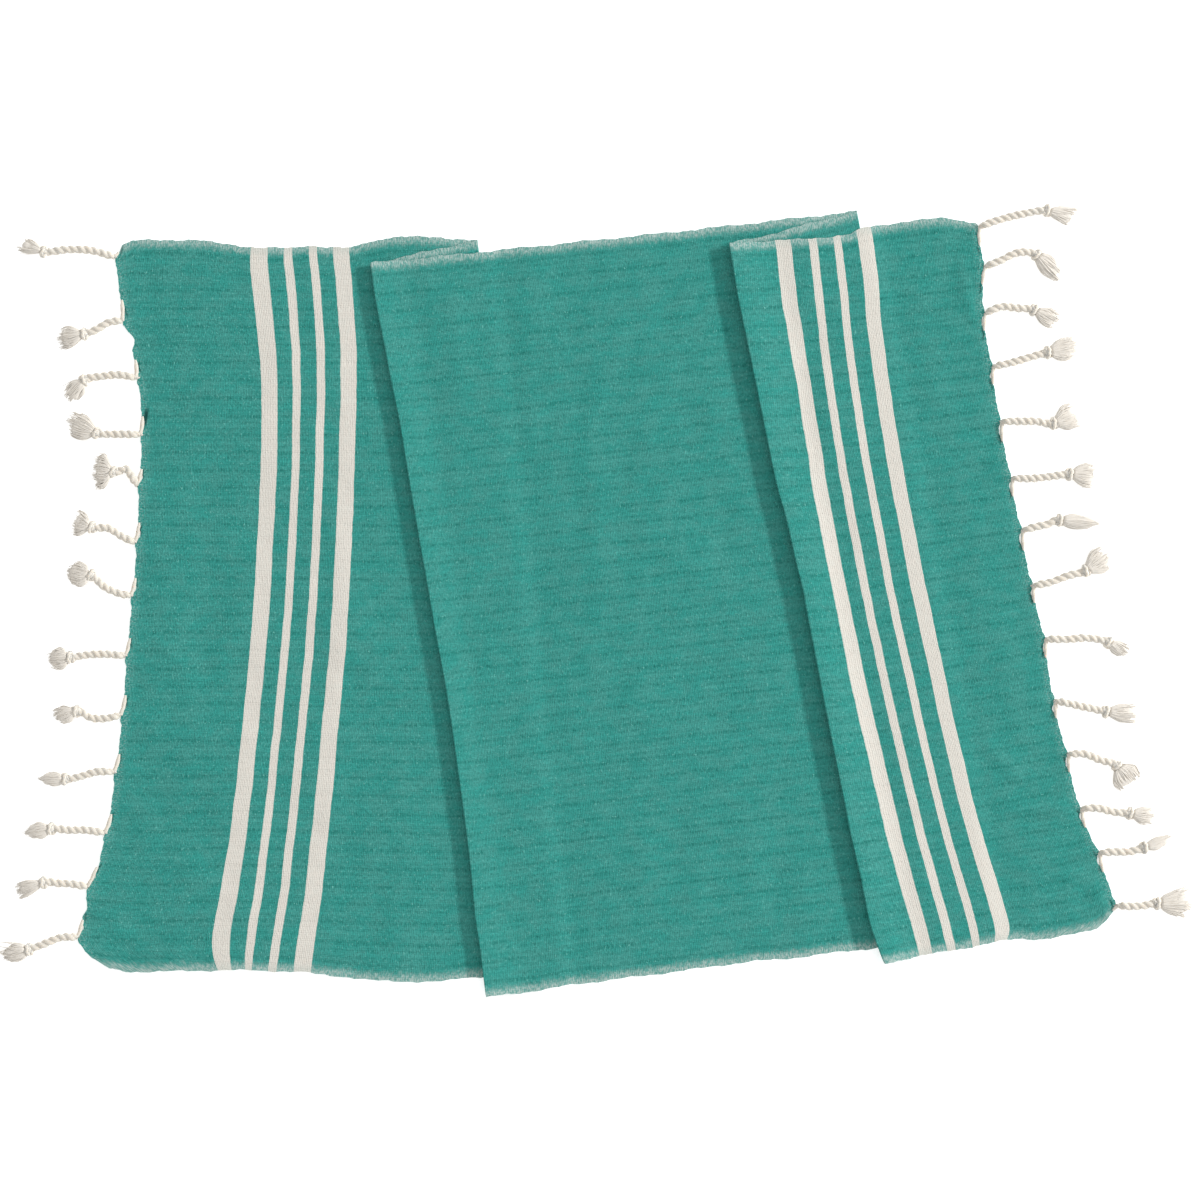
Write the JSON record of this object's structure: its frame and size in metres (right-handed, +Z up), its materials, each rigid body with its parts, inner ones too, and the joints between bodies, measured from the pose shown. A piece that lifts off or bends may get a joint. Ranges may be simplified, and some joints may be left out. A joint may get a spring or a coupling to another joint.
{
  "type": "flat-woven towel",
  "caption": "Teal flat-woven cotton towel with cream stripe groups and knotted twisted tassels on both ends, laid flat in two soft pleats.",
  "frame": {"origin": "centre of the laid cloth, tassels left out, on the surface that it lies on", "axes": "+X along the laid length from the left hem to the right hem, +Y towards the back selvedge, +Z up out of the surface"},
  "size_m": [1.5457, 1.0218, 0.0126],
  "materials": {
    "woven_cloth": "matte",
    "tassel_yarn": "matte"
  },
  "bodies": {
    "left_end_panel": {"left_end_panel": "woven_cloth"},
    "left_pleat_return": {"left_pleat_return": "woven_cloth"},
    "middle_panel": {"middle_panel": "woven_cloth"},
    "right_pleat_return": {"right_pleat_return": "woven_cloth"},
    "right_end_panel": {"right_end_panel": "woven_cloth"},
    "tassel_left_01": {"tassel_left_01": "tassel_yarn"},
    "tassel_left_02": {"tassel_left_02": "tassel_yarn"},
    "tassel_left_03": {"tassel_left_03": "tassel_yarn"},
    "tassel_left_04": {"tassel_left_04": "tassel_yarn"},
    "tassel_left_05": {"tassel_left_05": "tassel_yarn"},
    "tassel_left_06": {"tassel_left_06": "tassel_yarn"},
    "tassel_left_07": {"tassel_left_07": "tassel_yarn"},
    "tassel_left_08": {"tassel_left_08": "tassel_yarn"},
    "tassel_left_09": {"tassel_left_09": "tassel_yarn"},
    "tassel_left_10": {"tassel_left_10": "tassel_yarn"},
    "tassel_left_11": {"tassel_left_11": "tassel_yarn"},
    "tassel_left_12": {"tassel_left_12": "tassel_yarn"},
    "tassel_left_13": {"tassel_left_13": "tassel_yarn"},
    "tassel_right_01": {"tassel_right_01": "tassel_yarn"},
    "tassel_right_02": {"tassel_right_02": "tassel_yarn"},
    "tassel_right_03": {"tassel_right_03": "tassel_yarn"},
    "tassel_right_04": {"tassel_right_04": "tassel_yarn"},
    "tassel_right_05": {"tassel_right_05": "tassel_yarn"},
    "tassel_right_06": {"tassel_right_06": "tassel_yarn"},
    "tassel_right_07": {"tassel_right_07": "tassel_yarn"},
    "tassel_right_08": {"tassel_right_08": "tassel_yarn"},
    "tassel_right_09": {"tassel_right_09": "tassel_yarn"},
    "tassel_right_10": {"tassel_right_10": "tassel_yarn"},
    "tassel_right_11": {"tassel_right_11": "tassel_yarn"},
    "tassel_right_12": {"tassel_right_12": "tassel_yarn"},
    "tassel_right_13": {"tassel_right_13": "tassel_yarn"},
    "tassel_right_14": {"tassel_right_14": "tassel_yarn"}
  },
  "joints": [
    {"name": "left_pleat_open", "type": "hinge", "parent": "left_end_panel", "child": "left_pleat_return", "pos_m": [-0.1057, -0.0102, 0.00135], "axis": [-0.1031, 0.9947, 0], "range_deg": [0, 170]},
    {"name": "left_crease_open", "type": "hinge", "parent": "left_pleat_return", "child": "middle_panel", "pos_m": [-0.21826, -0.03379, 0.0046], "axis": [0.1568, -0.9876, 0], "range_deg": [0, 170]},
    {"name": "right_pleat_open", "type": "hinge", "parent": "middle_panel", "child": "right_pleat_return", "pos_m": [0.42421, 0.03603, 0.00135], "axis": [-0.1809, 0.9835, 0], "range_deg": [0, 170]},
    {"name": "right_crease_open", "type": "hinge", "parent": "right_pleat_return", "child": "right_end_panel", "pos_m": [0.27619, -0.00266, 0.0046], "axis": [0.2034, -0.9791, 0], "range_deg": [0, 170]},
    {"name": "lift_left_01", "type": "hinge", "parent": "left_end_panel", "child": "tassel_left_01", "pos_m": [-0.62708, 0.44782, 0.0036], "axis": [0.0269, 0.9996, 0], "range_deg": [0, 135]},
    {"name": "lift_left_02", "type": "hinge", "parent": "left_end_panel", "child": "tassel_left_02", "pos_m": [-0.61681, 0.36469, 0.0036], "axis": [-0.1799, 0.9837, 0], "range_deg": [0, 135]},
    {"name": "lift_left_03", "type": "hinge", "parent": "left_end_panel", "child": "tassel_left_03", "pos_m": [-0.59921, 0.29064, 0.0036], "axis": [-0.1565, 0.9877, 0], "range_deg": [0, 135]},
    {"name": "lift_left_04", "type": "hinge", "parent": "left_end_panel", "child": "tassel_left_04", "pos_m": [-0.5938, 0.21679, 0.0036], "axis": [-0.0113, 0.9999, 0], "range_deg": [0, 135]},
    {"name": "lift_left_05", "type": "hinge", "parent": "left_end_panel", "child": "tassel_left_05", "pos_m": [-0.59798, 0.15088, 0.0036], "axis": [0.044, 0.999, 0], "range_deg": [0, 135]},
    {"name": "lift_left_06", "type": "hinge", "parent": "left_end_panel", "child": "tassel_left_06", "pos_m": [-0.60028, 0.07687, 0.0036], "axis": [0.0629, 0.998, 0], "range_deg": [0, 135]},
    {"name": "lift_left_07", "type": "hinge", "parent": "left_end_panel", "child": "tassel_left_07", "pos_m": [-0.60592, 0.00786, 0.0036], "axis": [0.0889, 0.996, 0], "range_deg": [0, 135]},
    {"name": "lift_left_08", "type": "hinge", "parent": "left_end_panel", "child": "tassel_left_08", "pos_m": [-0.61272, -0.07016, 0.0036], "axis": [0.0831, 0.9965, 0], "range_deg": [0, 135]},
    {"name": "lift_left_09", "type": "hinge", "parent": "left_end_panel", "child": "tassel_left_09", "pos_m": [-0.61916, -0.14711, 0.0036], "axis": [0.0984, 0.9951, 0], "range_deg": [0, 135]},
    {"name": "lift_left_10", "type": "hinge", "parent": "left_end_panel", "child": "tassel_left_10", "pos_m": [-0.62784, -0.22111, 0.0036], "axis": [0.1347, 0.9909, 0], "range_deg": [0, 135]},
    {"name": "lift_left_11", "type": "hinge", "parent": "left_end_panel", "child": "tassel_left_11", "pos_m": [-0.63977, -0.30007, 0.0036], "axis": [0.2251, 0.9743, 0], "range_deg": [0, 135]},
    {"name": "lift_left_12", "type": "hinge", "parent": "left_end_panel", "child": "tassel_left_12", "pos_m": [-0.66177, -0.37005, 0.0036], "axis": [0.2566, 0.9665, 0], "range_deg": [0, 135]},
    {"name": "lift_left_13", "type": "hinge", "parent": "left_end_panel", "child": "tassel_left_13", "pos_m": [-0.6747, -0.43521, 0.0036], "axis": [-0.0182, 0.9998, 0], "range_deg": [0, 135]},
    {"name": "lift_right_01", "type": "hinge", "parent": "right_end_panel", "child": "tassel_right_01", "pos_m": [0.49651, 0.48703, 0.0036], "axis": [0.2422, -0.9702, 0], "range_deg": [0, 135]},
    {"name": "lift_right_02", "type": "hinge", "parent": "right_end_panel", "child": "tassel_right_02", "pos_m": [0.50383, 0.4354, 0.0036], "axis": [0.0621, -0.9981, 0], "range_deg": [0, 135]},
    {"name": "lift_right_03", "type": "hinge", "parent": "right_end_panel", "child": "tassel_right_03", "pos_m": [0.50416, 0.37474, 0.0036], "axis": [0.0817, -0.9967, 0], "range_deg": [0, 135]},
    {"name": "lift_right_04", "type": "hinge", "parent": "right_end_panel", "child": "tassel_right_04", "pos_m": [0.51452, 0.30559, 0.0036], "axis": [0.155, -0.9879, 0], "range_deg": [0, 135]},
    {"name": "lift_right_05", "type": "hinge", "parent": "right_end_panel", "child": "tassel_right_05", "pos_m": [0.52575, 0.23448, 0.0036], "axis": [0.1667, -0.986, 0], "range_deg": [0, 135]},
    {"name": "lift_right_06", "type": "hinge", "parent": "right_end_panel", "child": "tassel_right_06", "pos_m": [0.53929, 0.1607, 0.0036], "axis": [0.1881, -0.9821, 0], "range_deg": [0, 135]},
    {"name": "lift_right_07", "type": "hinge", "parent": "right_end_panel", "child": "tassel_right_07", "pos_m": [0.55264, 0.09294, 0.0036], "axis": [0.195, -0.9808, 0], "range_deg": [0, 135]},
    {"name": "lift_right_08", "type": "hinge", "parent": "right_end_panel", "child": "tassel_right_08", "pos_m": [0.56674, 0.02126, 0.0036], "axis": [0.2091, -0.9779, 0], "range_deg": [0, 135]},
    {"name": "lift_right_09", "type": "hinge", "parent": "right_end_panel", "child": "tassel_right_09", "pos_m": [0.58286, -0.04809, 0.0036], "axis": [0.1859, -0.9826, 0], "range_deg": [0, 135]},
    {"name": "lift_right_10", "type": "hinge", "parent": "right_end_panel", "child": "tassel_right_10", "pos_m": [0.5956, -0.12806, 0.0036], "axis": [0.1922, -0.9814, 0], "range_deg": [0, 135]},
    {"name": "lift_right_11", "type": "hinge", "parent": "right_end_panel", "child": "tassel_right_11", "pos_m": [0.61218, -0.19731, 0.0036], "axis": [0.2345, -0.9721, 0], "range_deg": [0, 135]},
    {"name": "lift_right_12", "type": "hinge", "parent": "right_end_panel", "child": "tassel_right_12", "pos_m": [0.62933, -0.26846, 0.0036], "axis": [0.3013, -0.9535, 0], "range_deg": [0, 135]},
    {"name": "lift_right_13", "type": "hinge", "parent": "right_end_panel", "child": "tassel_right_13", "pos_m": [0.6524, -0.32554, 0.0036], "axis": [0.3485, -0.9373, 0], "range_deg": [0, 135]},
    {"name": "lift_right_14", "type": "hinge", "parent": "right_end_panel", "child": "tassel_right_14", "pos_m": [0.675, -0.39412, 0.0036], "axis": [0.0921, -0.9958, 0], "range_deg": [0, 135]}
  ],
  "couplings": [
    {"joint": "left_crease_open", "follows": "left_pleat_open", "ratio": 1},
    {"joint": "right_crease_open", "follows": "right_pleat_open", "ratio": 1}
  ]
}
